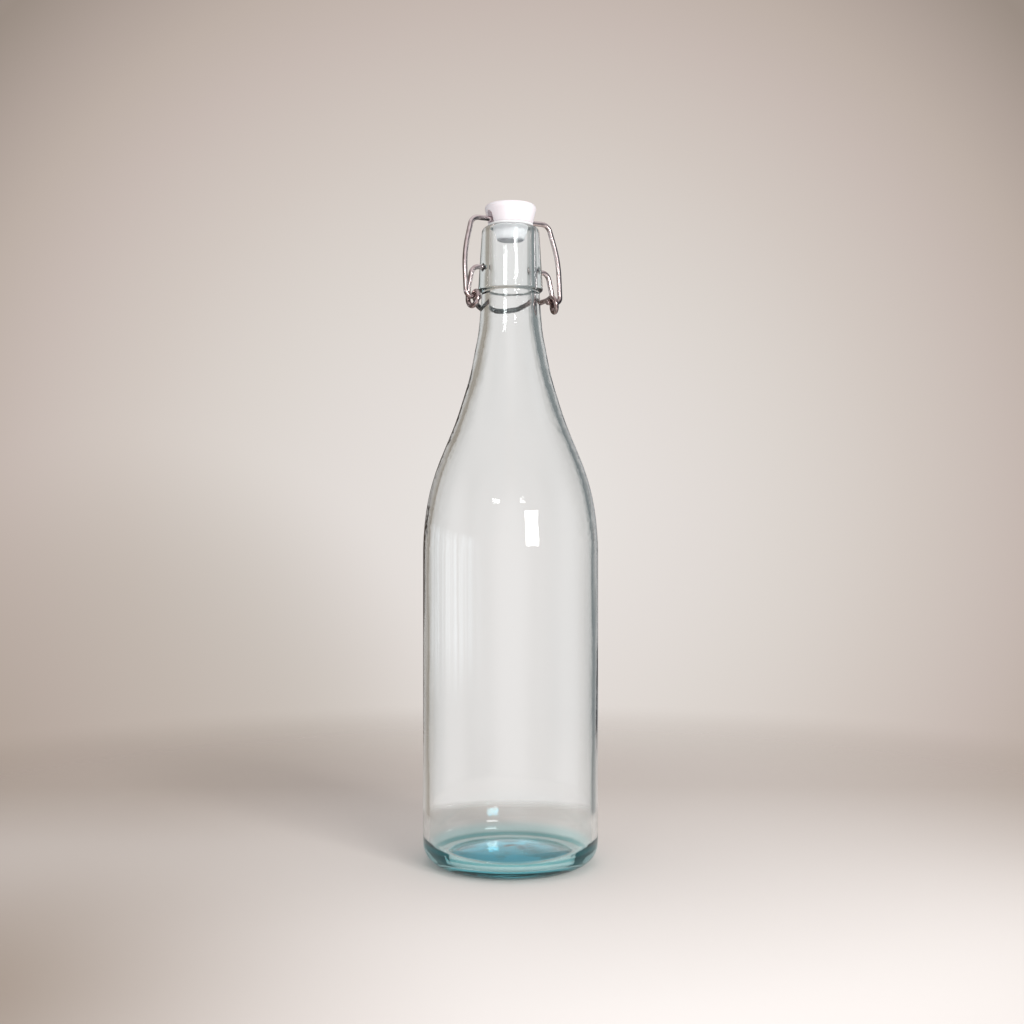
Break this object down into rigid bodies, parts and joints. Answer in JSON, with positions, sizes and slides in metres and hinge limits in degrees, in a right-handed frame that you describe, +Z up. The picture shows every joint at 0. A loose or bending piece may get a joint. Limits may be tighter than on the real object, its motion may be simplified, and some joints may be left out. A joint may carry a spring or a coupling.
{
  "type": "swing-top bottle",
  "caption": "Tall clear glass bottle with a conical shoulder and a swing-top closure: plug stopper with soft gasket, wire bail and wire lever pivoted in the neck.",
  "frame": {"origin": "centre of the bottle's foot ring, on the surface it stands on", "axes": "+Z up along the bottle's axis; X along the closure's pivots; the lever's handle lies behind the neck on the +Y side"},
  "size_m": [0.084, 0.084, 0.3161],
  "materials": {
    "glass": "clear with a faint green-blue tint",
    "wire": "drawn steel wire",
    "stopper": "satin white",
    "gasket": "soft translucent white"
  },
  "bodies": {
    "bottle": {"bottle": "glass"},
    "lever": {"lever": "wire"},
    "bail": {"bail": "wire"},
    "stopper": {"stopper": "stopper", "gasket": "gasket"}
  },
  "joints": [
    {"name": "lever_swing", "type": "hinge", "parent": "bottle", "child": "lever", "pos_m": [0, 0, 0.2846], "axis": [1, 0, 0], "range_deg": [0, 100]},
    {"name": "bail_swing", "type": "hinge", "parent": "lever", "child": "bail", "pos_m": [0, -0.00361, 0.26965], "axis": [1, 0, 0], "range_deg": [-66, 0]},
    {"name": "stopper_turn", "type": "hinge", "parent": "bail", "child": "stopper", "pos_m": [0, 0, 0.3081], "axis": [1, 0, 0], "range_deg": [-35, 0]}
  ],
  "couplings": [
    {"joint": "bail_swing", "follows": "lever_swing", "ratio": -0.655},
    {"joint": "stopper_turn", "follows": "lever_swing", "ratio": -0.345}
  ]
}
